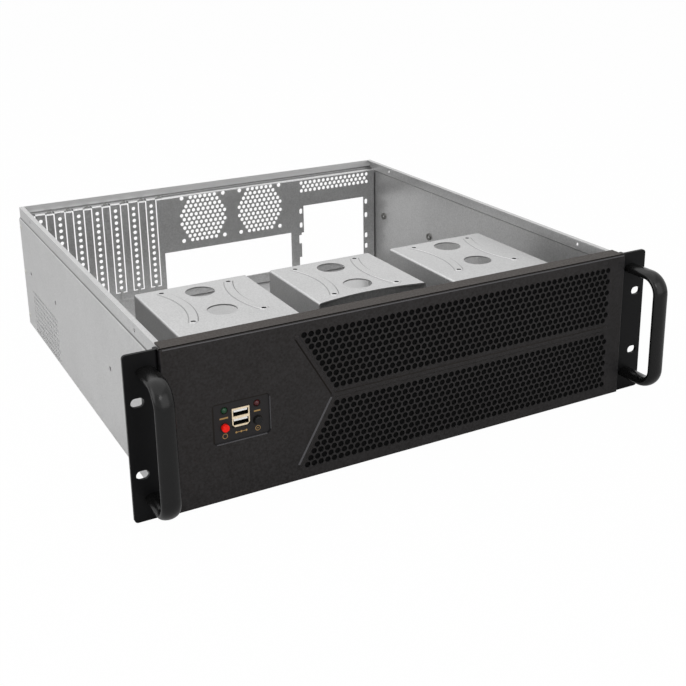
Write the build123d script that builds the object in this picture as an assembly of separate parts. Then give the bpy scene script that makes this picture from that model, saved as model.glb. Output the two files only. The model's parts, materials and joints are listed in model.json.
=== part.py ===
from build123d import *
import math
import os

# Empty rackmount server case, three rack units high, without its lid.
# Millimetres, +X to the right seen from the front, +Y to the rear, +Z up.
# The origin is on the underside, midway across, in the plane of the rack posts,
# which is the rear face of the two rack ears.

# Sheet and fits
sheet = 1.2
fold_radius = 2.0
seat_gap = 0.1
loose_gap = 0.3
running_gap = 0.08

# Case
body_width = 430.0
body_depth = 447.0
case_height = 132.2
wall_drop = 0.6
wall_height = case_height - wall_drop
lid_strip = 11.1
lid_flange = 8.5

# Rack ears and their slots, to the 19-inch standard
rack_width = 482.6
ear_height = case_height
ear_thickness = 2.5
ear_corner = 3.0
ear_bend = 3.0
ear_leg_depth = 38.0
ear_leg_height = 98.0
rack_hole_spacing = 465.1
rack_hole_rise = 57.15
rack_slot_width = 7.2
rack_slot_length = 10.0
ear_screw_y = 27.0
ear_screw_pitch = 36.0
ear_screw_count = 3

# Handles
handle_x = 225.0
handle_spacing = 100.0
handle_centre_z = 67.5
handle_reach = 38.0
handle_bend = 15.0
handle_width = 15.0
handle_thickness = 8.4
handle_screw_depth = 10.0

# Front pan
pan_stand = 6.0
pan_return = 16.0
pan_edge = 1.8
pan_relief = 0.5
pan_relief_start = 3.0
pan_corner = 5.0
seam_drop = 0.5
seam_width = 0.8
seam_depth = 0.8
ridge_width = 4.6
ridge_height = 1.0
ridge_taper = 40.0
ridge_slope = 30.0
ridge_rise = 53.4
vertex_x = -77.0
rib_end_x = 195.5

# Dust screen behind the pan's two perforated fields
screen_thickness = 1.0
screen_left = -74.0
screen_right = 199.5
screen_margin = 8.0

# Control window and what it shows
window_x = -155.3
window_z = 64.4
window_width = 46.7
window_height = 33.0
window_corner = 3.0
plate_margin = 4.0
post_radius = 2.4
post_inset = 3.4
board_distance = 14.8
board_thickness = 1.6
led_offset_x = 13.2
led_offset_z = 9.7
led_radius = 2.5
led_proud = 1.5
led_body = 7.0
led_flange = 0.5
led_leg = 0.5
led_leg_spacing = 2.54
button_offset_x = 13.3
button_offset_z = -4.0
power_radius = 3.0
power_proud = 3.0
reset_radius = 3.1
reset_proud = 2.8
button_flange = 1.1
button_flange_thickness = 1.0
button_edge = 0.5
button_travel = 1.5
stem_radius = 1.5
switch_size = 6.5
switch_depth = 4.0
switch_engage = 0.5
usb_offset_x = -0.2
usb_offset_z = 2.0
usb_width = 14.1
usb_height = 15.0
usb_proud = 0.4
usb_chamfer = 2.0
usb_socket_width = 12.4
usb_socket_height = 5.2
usb_socket_depth = 12.0
usb_socket_pitch = 7.2
tongue_width = 11.0
tongue_thickness = 1.9
tongue_length = 11.2

# Rear panel
ledge_depth = 10.7
ledge_drop = 9.1
panel_flange = 9.5
grille_hole = 2.1
slot_count = 7
slot_pitch = 20.32
slot_first_x = -195.0
slot_width = 13.2
slot_bottom = 20.0
slot_notch = 3.2
step_height = 12.5
step_depth = 4.0
step_start_x = -207.0
step_end_x = -63.0
io_left = -60.5
io_width = 158.75
io_bottom = 13.5
io_height = 44.45
fan_first_x = -12.0
fan_pitch = 70.5
fan_z = 93.9
fan_screw_spacing = 50.0
fan_screw_hole = 2.4
fan_grille_radius = 28.95
fan_pitch_x = 5.8
fan_pitch_z = 5.0
strip_first_x = 113.0
strip_pitch = 5.93
strip_columns = 16
strip_rows = 3
strip_top_z = 117.2
strip_rise = 4.75
supply_left = 115.0
supply_right = 197.5
supply_top = 89.0
supply_bottom = 10.0
supply_step = 3.2
supply_step_z = 56.0
supply_notch = 3.3
supply_notch_top = 53.2
supply_notch_bottom = 42.5
supply_foot_top = 25.5
oval_width = 4.0
oval_height = 6.5
oval_margin = 3.5
oval_upper_z = 82.7
oval_upper_drop = 17.2
oval_lower_z = 39.3
oval_lower_drop = 13.7

# Slot covers
cover_sheet = 1.0
cover_width = 10.3
cover_bend = 1.6
cover_tab_width = 18.4
cover_screw_offset = 10.16
cover_tongue_width = 3.0
cover_tongue_lap = 2.5
cover_holes = 14
cover_hole_pitch = 6.85
cover_hole_top = 115.3
cover_hole = 2.0

# Drive cages
cage_pitch = 127.4
cage_width = 104.6
cage_top = 114.0
cage_back = 166.0
cage_front = 50.5
middle_front = 66.0
middle_scoop = 6.0
cage_foot = 9.0
cage_lip = 9.0
cage_hole_x = 61.72
cage_hole_y = 76.6
cage_hole_centre = 118.0
cage_hole = 1.8
cage_sink = 2.3
cage_sink_depth = 0.5
cage_port = 12.8
cage_port_front = 94.6
cage_port_back = 145.2
bead_width = 7.6
bead_bow = 7.8
bead_height = 0.6
bead_taper = 40.0
cage_rivet_inset = 18.0

# Board standoffs, to the full-size board pattern, placed from the panel's inner face
standoff_columns = (0.0, 124.46, 281.94)
standoff_rows = (0.0, 154.94, 227.33)
standoff_first_x = -185.0
standoff_setback = 11.7
standoff_flats = 5.5
standoff_height = 6.5
standoff_bore = 1.5

# Side walls
rail_hole_y = (129.5, 311.5, 414.0)
rail_hole_z = 67.0
rail_hole = 2.1
rail_nut = 4.0
rail_nut_height = 1.8
lid_hole_y = (56.0, 400.0)
lid_hole = 1.6
panel_rivet_z = (12.0, 61.5, 111.0)

# Fasteners
rivet_radius = 1.6
rivet_head = 2.8
rivet_head_height = 0.8
screw_radius = 2.0
screw_sink = 4.0
screw_sink_depth = 2.0
small_screw = 1.6
small_head = 2.6
small_head_height = 1.1
small_screw_length = 6.0
board_screw = 1.1
board_head = 2.2
board_head_height = 1.4
board_screw_length = 6.0

# What follows from them
half_width = body_width / 2
lap = sheet + seat_gap
pan_face = -pan_stand
pan_back = pan_return - pan_stand
pan_top = wall_height + sheet
pan_middle = pan_top / 2
tray_front = pan_face + sheet + seat_gap
lap_end = pan_back + seat_gap
strip_half = half_width - lap
strip_bottom = wall_height - lid_strip
panel_y = body_depth - ledge_depth
panel_back = panel_y + sheet
ledge_top = wall_height - ledge_drop
panel_half = half_width - sheet - seat_gap
panel_upper_half = strip_half - sheet - seat_gap
cover_tab_top = ledge_top + cover_sheet
cover_tab_end = body_depth - sheet - fold_radius - loose_gap
plate_y = pan_face + sheet
plate_back = plate_y + sheet
board_y = plate_y + board_distance
switch_y = board_y - switch_depth
ear_middle = ear_height / 2
ear_face = -ear_thickness
power_x = window_x - button_offset_x
reset_x = window_x + button_offset_x
button_z = window_z + button_offset_z
usb_x = window_x + usb_offset_x
usb_z = window_z + usb_offset_z
led_z = window_z + led_offset_z
to_rear = Rot(-90, 0, 0)
sides = (-1, 1)


def block(x, y, z):
    """A block between two limits along each axis."""
    centre = Pos(sum(x) / 2, sum(y) / 2, sum(z) / 2)
    return centre * Box(x[1] - x[0], y[1] - y[0], z[1] - z[0])


def rod(radius, length):
    """A round bar that stands on the origin."""
    return Cylinder(radius, length, align=(Align.CENTER, Align.CENTER, Align.MIN))


def taper_rod(low_radius, high_radius, length):
    """A cone's frustum that stands on the origin."""
    return Cone(low_radius, high_radius, length, align=(Align.CENTER, Align.CENTER, Align.MIN))


def front_plane(y):
    """The upright plane at y that looks to the front, with X to the right and Z up."""
    return Plane(origin=(0, y, 0), x_dir=(1, 0, 0), z_dir=(0, -1, 0))


def save(name, *solids):
    """Write one node, as a single solid or as a group of separate ones."""
    shape = solids[0] if len(solids) == 1 else Compound(list(solids))
    export_step(shape, f"parts/{name}.step")


def folded(points, radius, thickness):
    """Section of a sheet folded along a line; the sheet lies to the line's right."""
    line = FilletPolyline(*points, radius=radius)
    return make_face(offset(line, amount=thickness, side=Side.RIGHT))


def mirrored(points):
    """Points on the right and their mirror images on the left, as one closed outline."""
    left = [(-x, y) for x, y in reversed(points)]
    return make_face(Polyline(*points, *left, close=True))


# Fasteners, each pointing down from the origin at the seat of its head


def pan_screw(radius, head, head_height, length):
    """A screw with a low round head above its seat."""
    return rod(head, head_height) + Pos(0, 0, -length) * rod(radius, length)


def sunk_screw(length):
    """A countersunk screw, its head flush with the origin."""
    head = Pos(0, 0, -screw_sink_depth) * taper_rod(screw_radius, screw_sink, screw_sink_depth)
    return head + Pos(0, 0, -length) * rod(screw_radius, length)


def sunk_hole(length):
    """The hole for a countersunk screw, with its clearance all round."""
    wide = screw_sink + seat_gap
    narrow = screw_radius + seat_gap
    head = Pos(0, 0, -screw_sink_depth) * taper_rod(narrow, wide, screw_sink_depth)
    return head + Pos(0, 0, -length) * rod(narrow, length)


def rivet(grip):
    """A rivet with a low head above its seat and its tail flush with the far face."""
    return pan_screw(rivet_radius, rivet_head, rivet_head_height, grip - seat_gap)


def rivet_hole(grip):
    """The hole for a rivet, cut through to both sides of its grip."""
    return Pos(0, 0, -grip - sheet) * rod(rivet_radius + seat_gap, grip + 2 * sheet)


# Holes that repeat


def lattice_hole(radius, x, z, y, depth):
    """A six-sided perforation through an upright sheet whose front face is at y."""
    hole = extrude(RegularPolygon(radius, 6, rotation=30), amount=depth + 2 * sheet)
    return Pos(x, y - sheet, z) * to_rear * hole


def round_hole(radius, x, z, y, depth):
    """A round hole through an upright sheet whose front face is at y."""
    return Pos(x, y - sheet, z) * to_rear * rod(radius, depth + 2 * sheet)


def fan_points():
    """Places of one fan grille's perforations, measured from the fan's centre."""
    points = []
    rows = math.ceil(fan_grille_radius / fan_pitch_z)
    columns = math.ceil(fan_grille_radius / fan_pitch_x)
    for row in range(-rows, rows + 1):
        stagger = (row % 2) / 2
        for column in range(-columns - 1, columns + 1):
            x = (column + stagger) * fan_pitch_x
            z = row * fan_pitch_z
            if math.hypot(x, z) < fan_grille_radius:
                points.append((x, z))
    return points


def strip_points():
    """Places of the staggered rows of perforations above the supply's opening."""
    points = []
    for row in range(strip_rows):
        odd = row % 2
        for column in range(strip_columns - odd):
            x = strip_first_x + (column + odd / 2) * strip_pitch
            points.append((x, strip_top_z - row * strip_rise))
    return points


# Tray


def tray_form(shrink):
    """Outer form of the tray, or of its inside when shrunk by the sheet."""
    half = half_width - shrink
    front_half = half - lap
    plan = mirrored([
        (front_half, tray_front),
        (front_half, lap_end),
        (half, lap_end + lap),
        (half, body_depth),
    ])
    top = wall_height - shrink
    section = mirrored([
        (half, shrink),
        (half, strip_bottom - lap),
        (front_half, strip_bottom),
        (front_half, top),
    ])
    low_corners = section.vertices().group_by(Axis.Y)[0]
    section = fillet(low_corners, fold_radius - shrink)
    side = make_face(Polyline(
        (tray_front, shrink + lap),
        (lap_end, shrink + lap),
        (lap_end + lap, shrink),
        (body_depth, shrink),
        (body_depth, top),
        (tray_front, top),
        close=True,
    ))
    form = extrude(plan, amount=wall_height)
    form &= extrude(Plane.XZ * section, amount=-body_depth - pan_stand, both=True)
    form &= extrude(Plane.YZ * side, amount=body_width, both=True)
    return form


def wall_hole(side, y, z, radius):
    """A round hole through one side wall."""
    start = side * (half_width + sheet)
    return Pos(start, y, z) * Rot(0, -side * 90, 0) * rod(radius, lap + 3 * sheet)


def chassis_tray():
    """Floor and side walls folded from one sheet, with the inset strip for the lid."""
    opening = strip_half - lid_flange
    tray = tray_form(0) - tray_form(sheet)
    tray -= block((-opening, opening), (tray_front, body_depth), (strip_bottom, wall_height))
    inside = strip_half - sheet
    rear_end = (body_depth - sheet - seat_gap, body_depth)
    tray -= block((-inside, inside), rear_end, (strip_bottom, wall_height))
    for side in sides:
        for y in rail_hole_y:
            tray -= wall_hole(side, y, rail_hole_z, rail_hole)
        for y in lid_hole_y:
            tray -= wall_hole(side, y, strip_bottom + lid_strip / 2, lid_hole)
    for place in ear_screw_places():
        tray -= place * Pos(0, 0, sheet) * rod_through(screw_radius + seat_gap)
    for place in panel_rivet_places():
        tray -= place * rivet_hole(2 * sheet)
    for place in cage_rivet_places():
        tray -= place * rivet_hole(2 * sheet)
    return tray


def rod_through(radius):
    """A round cutter long enough for an ear and a wall, centred on the origin."""
    return Cylinder(radius, 4 * (ear_thickness + sheet))


# Rack ears and handles


def ear_screw_places():
    """Seats of the ears' side screws, each turned so that its head faces outwards."""
    places = []
    start = -(ear_screw_count - 1) / 2
    for side in sides:
        for index in range(ear_screw_count):
            z = ear_middle + (start + index) * ear_screw_pitch
            seat = Pos(side * (half_width + ear_thickness), ear_screw_y, z)
            places.append(seat * Rot(0, side * 90, 0))
    return places


def handle_screw_places():
    """Seats of the handles' screws on the ears' rear faces."""
    places = []
    for side in sides:
        for step in sides:
            z = handle_centre_z + step * handle_spacing / 2
            places.append(Pos(side * handle_x, 0, z) * to_rear)
    return places


def ear(side):
    """One rack ear: a slotted plate folded round into a leg on the case's side."""
    inner = half_width
    outer = rack_width / 2
    section = folded(
        [(outer, ear_face), (inner, ear_face), (inner, ear_leg_depth)],
        ear_bend,
        ear_thickness,
    )
    angle = extrude(section, amount=ear_height)
    margin = (ear_height - ear_leg_height) / 2
    spare = (inner - sheet, inner + ear_thickness + sheet)
    leg = (ear_bend, ear_leg_depth + sheet)
    angle -= block(spare, leg, (-sheet, margin))
    angle -= block(spare, leg, (ear_height - margin, ear_height + sheet))
    outer_edges = angle.edges().filter_by(Axis.Y).group_by(Axis.X)[-1]
    angle = fillet(outer_edges, ear_corner)
    slot = SlotOverall(rack_slot_length, rack_slot_width)
    for step in sides:
        z = ear_middle + step * rack_hole_rise / 2
        cutter = extrude(front_plane(0) * Pos(rack_hole_spacing / 2, z) * slot, amount=ear_thickness)
        angle -= cutter
    if side < 0:
        angle = mirror(angle, Plane.YZ)
    for place in ear_screw_places():
        angle -= place * sunk_hole(ear_thickness + sheet)
    for place in handle_screw_places():
        angle -= place * sunk_hole(ear_thickness + sheet)
    return angle


def handle(side):
    """One handle: an oval bar bent twice, standing on the ear's face."""
    low = handle_centre_z - handle_spacing / 2
    high = handle_centre_z + handle_spacing / 2
    front = ear_face - handle_reach
    path = FilletPolyline(
        (0, ear_face, low), (0, front, low), (0, front, high), (0, ear_face, high),
        radius=handle_bend,
    )
    section = Ellipse(handle_width / 2, handle_thickness / 2)
    bar = sweep(Plane(origin=(0, ear_face, low), x_dir=(1, 0, 0), z_dir=(0, -1, 0)) * section, path=path)
    bar = Pos(side * handle_x, 0, 0) * bar
    for place in handle_screw_places():
        bar -= place * sunk_hole(handle_screw_depth + sheet)
    return bar


# Front pan and its controls


def ridge_lines():
    """Starts and ends of the pressed ridge: two arms from the vertex and a long rib."""
    run = ridge_rise * math.tan(math.radians(ridge_slope))
    vertex = (vertex_x, pan_middle)
    return [
        (vertex, (vertex_x - run, pan_middle + ridge_rise)),
        (vertex, (vertex_x - run, pan_middle - ridge_rise)),
        (vertex, (rib_end_x, pan_middle)),
    ]


def pressed(start, end, width, y):
    """One straight pressed ridge on the upright plane at y."""
    run = (end[0] - start[0], end[1] - start[1])
    angle = math.degrees(math.atan2(run[1], run[0]))
    middle = Pos((start[0] + end[0]) / 2, (start[1] + end[1]) / 2)
    outline = SlotCenterToCenter(math.hypot(*run), width)
    return extrude(front_plane(y) * middle * Rot(0, 0, angle) * outline, ridge_height, taper=ridge_taper)


def pan_reliefs():
    """Notches where the pan's top and bottom flanges part from its side flanges."""
    inner = half_width - sheet - pan_relief
    depth = (pan_face + pan_relief_start, pan_back + sheet)
    reliefs = []
    for side in sides:
        x = sorted((side * inner, side * (half_width + sheet)))
        reliefs.append(block(x, depth, (pan_top - sheet - pan_relief, pan_top + sheet)))
        reliefs.append(block(x, depth, (-sheet, sheet + pan_relief)))
    return reliefs


def pan_side_profile():
    """Side view of the pan's side flanges, with their rear corners rounded."""
    low = sheet + pan_relief
    high = pan_top - sheet - pan_relief
    y = (pan_face + sheet, pan_back)
    profile = make_face(Polyline((y[0], low), (y[1], low), (y[1], high), (y[0], high), close=True))
    return fillet(profile.vertices().group_by(Axis.X)[-1], pan_corner)


def pan_seam():
    """Cuts along the top: the face's edge stands below the flange, with a fine gap behind it."""
    x = (-half_width - sheet, half_width + sheet)
    high = pan_top + sheet
    shelf = block(x, (pan_face - sheet, plate_y), (pan_top - seam_drop, high))
    gap = block(x, (plate_y - seat_gap, plate_y + seam_width), (pan_top - seam_depth, high))
    return [shelf, gap]


def front_panel():
    """The pressed front pan: face, four short flanges, ridge and control window."""
    outer = block((-half_width, half_width), (pan_face, pan_back), (0, pan_top))
    face_edges = outer.edges().group_by(Axis.Y)[0]
    outer = fillet(face_edges, pan_edge)
    hollow = half_width - sheet
    pan = outer - block((-hollow, hollow), (plate_y, pan_back), (sheet, pan_top - sheet))
    for cut in pan_reliefs() + pan_seam():
        pan -= cut
    keep = extrude(Plane.YZ * pan_side_profile(), amount=body_width, both=True)
    rear = (plate_y + sheet, pan_back + sheet)
    for side in sides:
        x = sorted((side * (half_width - sheet), side * (half_width + sheet)))
        flange = block(x, rear, (sheet + pan_relief, pan_top - sheet - pan_relief))
        pan -= flange - keep
    for start, end in ridge_lines():
        pan += pressed(start, end, ridge_width, pan_face)
    for start, end in ridge_lines():
        pan -= pressed(start, end, ridge_width - sheet, plate_y)
    window = RectangleRounded(window_width, window_height, window_corner)
    pan -= extrude(front_plane(plate_y) * Pos(window_x, window_z) * window, amount=sheet)
    return pan


def dust_screen():
    """Fine screen on the pan's back that covers both perforated fields."""
    rise = pan_middle - screen_margin
    run = rise * math.tan(math.radians(ridge_slope))
    outline = make_face(Polyline(
        (screen_left, pan_middle), (screen_left - run, pan_middle + rise),
        (screen_right, pan_middle + rise), (screen_right, pan_middle - rise),
        (screen_left - run, pan_middle - rise),
        close=True,
    ))
    return extrude(front_plane(plate_y + screen_thickness) * outline, amount=screen_thickness)


def post_places():
    """Places of the four posts between the control plate and its board."""
    reach_x = window_width / 2 + plate_margin - post_inset
    reach_z = window_height / 2 + plate_margin - post_inset
    return [(window_x + i * reach_x, window_z + j * reach_z) for i in sides for j in sides]


def control_plate():
    """Plate behind the window, pierced for the controls, with posts for the board."""
    half_x = window_width / 2 + plate_margin
    half_z = window_height / 2 + plate_margin
    x = (window_x - half_x, window_x + half_x)
    z = (window_z - half_z, window_z + half_z)
    plate = block(x, (plate_y, plate_back), z)
    for led_x in (window_x - led_offset_x, window_x + led_offset_x):
        plate -= round_hole(led_radius + seat_gap, led_x, led_z, plate_y, sheet)
    plate -= round_hole(power_radius + running_gap, power_x, button_z, plate_y, sheet)
    plate -= round_hole(reset_radius + running_gap, reset_x, button_z, plate_y, sheet)
    reach_x = usb_width / 2 + seat_gap
    reach_z = usb_height / 2 + seat_gap
    plate -= block(
        (usb_x - reach_x, usb_x + reach_x),
        (plate_y - sheet, plate_back + sheet),
        (usb_z - reach_z, usb_z + reach_z),
    )
    for post_x, post_z in post_places():
        plate += Pos(post_x, plate_back, post_z) * to_rear * rod(post_radius, board_y - plate_back)
        bore = rod(board_screw + seat_gap, board_screw_length)
        plate -= Pos(post_x, board_y - board_screw_length, post_z) * to_rear * bore
    return plate


def control_board():
    """Small circuit board on the plate's posts."""
    half_x = window_width / 2 + plate_margin
    half_z = window_height / 2 + plate_margin
    board = block(
        (window_x - half_x, window_x + half_x),
        (board_y, board_y + board_thickness),
        (window_z - half_z, window_z + half_z),
    )
    for post_x, post_z in post_places():
        board -= round_hole(board_screw + seat_gap, post_x, post_z, board_y, board_thickness)
    return board


def board_screws():
    """The four screws that hold the circuit board."""
    screw = pan_screw(board_screw, board_head, board_head_height, board_screw_length)
    back = board_y + board_thickness
    return [Pos(x, back, z) * to_rear * screw for x, z in post_places()]


def button(x, radius, front):
    """A round button: cap, retaining flange behind the plate, and stem to its switch."""
    flange_y = plate_back + loose_gap
    stem_y = flange_y + button_flange_thickness
    tip = switch_y + switch_engage
    flange_radius = radius + button_flange
    profile = make_face(Polyline(
        (0, front), (radius - button_edge, front), (radius, front + button_edge),
        (radius, flange_y), (flange_radius, flange_y), (flange_radius, stem_y),
        (stem_radius, stem_y), (stem_radius, tip), (0, tip),
        close=True,
    ))
    return Pos(x, 0, button_z) * revolve(profile, Axis.Y)


def switch(x):
    """Push switch on the board, with a well that the button's stem runs in."""
    half = switch_size / 2
    body = block((x - half, x + half), (switch_y, board_y), (button_z - half, button_z + half))
    well = rod(stem_radius + running_gap, switch_engage + button_travel + loose_gap)
    return body - Pos(x, switch_y, button_z) * to_rear * well


def led(x):
    """Round indicator lamp: dome, body, flange and two straight legs to the board."""
    tip = plate_y - led_proud
    centre = tip + led_radius
    seat = centre + led_body
    lamp = Pos(x, centre, led_z) * Sphere(led_radius)
    lamp += Pos(x, centre, led_z) * to_rear * rod(led_radius, led_body)
    lamp += Pos(x, seat - led_flange, led_z) * to_rear * rod(led_radius + led_flange, led_flange)
    for step in sides:
        leg_x = x + step * led_leg_spacing / 2
        leg = block(
            (leg_x - led_leg / 2, leg_x + led_leg / 2),
            (seat - led_flange, board_y),
            (led_z - led_leg / 2, led_z + led_leg / 2),
        )
        lamp += leg
    return lamp


def socket_centres():
    """Heights of the two stacked sockets."""
    return [usb_z + step * usb_socket_pitch / 2 for step in sides]


def usb_shell():
    """Stacked double socket, its body's lower corners chamfered."""
    front = plate_y - usb_proud
    outline = make_face(Polyline(
        (usb_x - usb_width / 2, usb_z - usb_height / 2 + usb_chamfer),
        (usb_x - usb_width / 2 + usb_chamfer, usb_z - usb_height / 2),
        (usb_x + usb_width / 2 - usb_chamfer, usb_z - usb_height / 2),
        (usb_x + usb_width / 2, usb_z - usb_height / 2 + usb_chamfer),
        (usb_x + usb_width / 2, usb_z + usb_height / 2),
        (usb_x - usb_width / 2, usb_z + usb_height / 2),
        close=True,
    ))
    shell = extrude(front_plane(board_y) * outline, amount=board_y - front)
    half = usb_socket_width / 2
    for z in socket_centres():
        height = (z - usb_socket_height / 2, z + usb_socket_height / 2)
        shell -= block((usb_x - half, usb_x + half), (front, front + usb_socket_depth), height)
    return shell


def usb_tongues():
    """The two contact tongues, standing on the backs of the sockets."""
    back = plate_y - usb_proud + usb_socket_depth
    half = tongue_width / 2
    tongues = []
    for z in socket_centres():
        top = z + usb_socket_height / 2 - seat_gap
        height = (top - tongue_thickness, top)
        tongues.append(block((usb_x - half, usb_x + half), (back - tongue_length, back), height))
    return tongues


# Rear panel and slot covers


def slot_centres():
    """Places of the expansion slots across the panel."""
    return [slot_first_x + index * slot_pitch for index in range(slot_count)]


def cover_screw_places():
    """Seats of the slot covers' screws on the covers' tabs."""
    y = (panel_y + cover_tab_end) / 2
    return [Pos(x + cover_screw_offset, y, cover_tab_top) for x in slot_centres()]


def panel_rivet_places():
    """Seats of the rivets through the side walls into the rear panel's side flanges."""
    y = panel_back + panel_flange / 2
    places = []
    for side in sides:
        for z in panel_rivet_z:
            places.append(Pos(side * half_width, y, z) * Rot(0, side * 90, 0))
    return places


def supply_cut():
    """Outline of the power supply's opening, with the notches on its left edge."""
    step = supply_left - supply_step
    notch = step - supply_notch
    outline = make_face(Polyline(
        (supply_left, supply_top), (supply_right, supply_top),
        (supply_right, supply_bottom), (notch, supply_bottom),
        (notch, supply_foot_top), (step, supply_foot_top),
        (step, supply_notch_bottom), (notch, supply_notch_bottom),
        (notch, supply_notch_top), (step, supply_notch_top),
        (step, supply_step_z), (supply_left, supply_step_z),
        close=True,
    ))
    return extrude(front_plane(panel_back + sheet) * outline, amount=3 * sheet)


def oval_points():
    """Places of the tall holes beside the power supply's opening."""
    left = supply_left - oval_margin
    right = supply_right + oval_margin
    upper = (oval_upper_z, oval_upper_z - oval_upper_drop)
    lower = (oval_lower_z, oval_lower_z - oval_lower_drop)
    return [(left, z) for z in upper] + [(right, z) for z in upper + lower]


def rear_step():
    """Pressed step along the panel's foot below the slots, open at the rear."""
    x = (step_start_x, step_end_x)
    outer = block(x, (panel_y - step_depth, panel_back), (sheet, step_height))
    inner_x = (step_start_x + sheet, step_end_x - sheet)
    inner = block(inner_x, (panel_y - step_depth + sheet, panel_back), (sheet, step_height - sheet))
    return outer, inner


def panel_blank():
    """The folded rear panel before it is pierced: foot, face, ledge, upper strip, sides."""
    foot = panel_y + panel_flange
    section = folded(
        [
            (foot, sheet), (panel_y, sheet), (panel_y, ledge_top),
            (body_depth - sheet, ledge_top), (body_depth - sheet, wall_height),
        ],
        fold_radius,
        sheet,
    )
    panel = extrude(Plane.YZ * section, amount=panel_upper_half, both=True)
    for side in sides:
        panel += panel_wing(side)
    outer, inner = rear_step()
    return panel + outer - inner


def panel_wing(side):
    """One side of the panel: its face carried outwards, then folded to the rear along the wall."""
    outer = side * panel_half
    inner = side * (panel_half - sheet)
    start = side * (panel_upper_half - sheet)
    rear = panel_y + panel_flange
    section = make_face(Polyline(
        (start, panel_y), (outer, panel_y), (outer, rear),
        (inner, rear), (inner, panel_back), (start, panel_back),
        close=True,
    ))
    low = sheet + fold_radius + loose_gap
    high = strip_bottom - lap - sheet
    wing = Pos(0, 0, low) * extrude(section, amount=high - low, dir=(0, 0, 1))
    wing = fillet(upright_edge(wing, (outer, panel_y, high)), fold_radius)
    return fillet(upright_edge(wing, (inner, panel_back, high)), fold_radius - sheet)


def upright_edge(solid, point):
    """The upright edge of a solid that passes nearest to a point."""
    return solid.edges().filter_by(Axis.Z).sort_by_distance(point)[0]


def pierced(panel):
    """The panel with its slots, ventilation and connector openings cut."""
    for x in slot_centres():
        width = (x - slot_width / 2, x + slot_width / 2)
        panel -= block(width, (panel_y - sheet, panel_y + slot_notch), (slot_bottom, ledge_top + sheet))
    depth = (panel_y - sheet, panel_back + sheet)
    panel -= block((io_left, io_left + io_width), depth, (io_bottom, io_bottom + io_height))
    panel -= supply_cut()
    oval = SlotOverall(oval_height, oval_width, rotation=90)
    for x, z in oval_points():
        panel -= extrude(front_plane(panel_back + sheet) * Pos(x, z) * oval, amount=3 * sheet)
    return panel


def panel_holes():
    """Every small hole of the rear panel."""
    holes = [lattice_hole(grille_hole, x, z, panel_y, sheet) for x, z in strip_points()]
    for fan in range(2):
        centre = fan_first_x + fan * fan_pitch
        for x, z in fan_points():
            holes.append(lattice_hole(grille_hole, centre + x, fan_z + z, panel_y, sheet))
        for i in sides:
            for j in sides:
                x = centre + i * fan_screw_spacing / 2
                z = fan_z + j * fan_screw_spacing / 2
                holes.append(round_hole(fan_screw_hole, x, z, panel_y, sheet))
    for place in cover_screw_places():
        holes.append(place * Pos(0, 0, -small_screw_length) * rod(small_screw + seat_gap, small_screw_length))
    for place in panel_rivet_places():
        holes.append(place * rivet_hole(2 * sheet))
    return holes


def rear_panel():
    """The rear panel with its two fan grilles, slots and openings."""
    return pierced(panel_blank()) - panel_holes()


def slot_cover(x):
    """One slot cover: a perforated blade, a tab folded over the ledge, and a tongue."""
    left = x - cover_width / 2
    section = folded(
        [(panel_y, slot_bottom + sheet), (panel_y, cover_tab_top), (cover_tab_end, cover_tab_top)],
        cover_bend,
        cover_sheet,
    )
    cover = extrude(Plane.YZ.offset(left) * section, amount=cover_width)
    cover += block(
        (left, left + cover_tab_width),
        (panel_back, cover_tab_end),
        (ledge_top, cover_tab_top),
    )
    cover += cover_tongue(x)
    for index in range(cover_holes):
        z = cover_hole_top - index * cover_hole_pitch
        cover -= lattice_hole(cover_hole, x, z, panel_y, cover_sheet)
    hole = Pos(0, 0, -2 * cover_sheet) * rod(small_screw + seat_gap, 3 * cover_sheet)
    return cover - Pos(x + cover_screw_offset, cover_screw_places()[0].position.Y, cover_tab_top) * hole


def cover_tongue(x):
    """The narrow foot of a cover, set inwards so that it hooks behind the panel."""
    half = cover_tongue_width / 2
    front = panel_y - seat_gap - cover_sheet
    lap_top = slot_bottom + sheet + cover_tongue_lap
    foot = block((x - half, x + half), (front, panel_y - seat_gap), (step_height + seat_gap, lap_top))
    joint = block((x - half, x + half), (front, panel_y + cover_sheet), (slot_bottom + sheet, lap_top))
    return foot + joint


def cover_screws():
    """The screws that hold the slot covers to the ledge."""
    screw = pan_screw(small_screw, small_head, small_head_height, small_screw_length)
    return [place * screw for place in cover_screw_places()]


# Drive cages


def cage_centres():
    """Middle of each drive cage across the case, by its name."""
    return {"left": -cage_pitch, "middle": 0.0, "right": cage_pitch}


def cage_start(name):
    """Front edge of a cage's top."""
    return middle_front if name == "middle" else cage_front


def cage_rivet_places():
    """Seats of the rivets through the cages' feet into the floor."""
    places = []
    reach = cage_width / 2 + cage_foot / 2
    for name, centre in cage_centres().items():
        for side in sides:
            for y in (cage_start(name) + cage_rivet_inset, cage_back - cage_rivet_inset):
                places.append(Pos(centre + side * reach, y, 2 * sheet))
    return places


def cage_bead(side, base):
    """The bowed bead pressed in a cage's top beside two of its screw holes."""
    reach = cage_hole_y / 2
    outer = side * cage_hole_x / 2
    bow = outer - side * bead_bow
    arc = ThreePointArc((outer, reach), (bow, 0), (outer, -reach))
    plane = Plane(origin=(0, cage_hole_centre, base))
    return extrude(plane * SlotArc(arc, bead_width), bead_height, taper=bead_taper)


def cage_front_lip(name):
    """The short edge folded down below the front of a cage's top."""
    reach = (cage_width - sheet) / 2
    front = cage_start(name)
    if name == "middle":
        front += middle_scoop + loose_gap
    return block((-reach, reach), (front, front + sheet), (cage_top - cage_lip, cage_top - sheet / 2))


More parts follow.
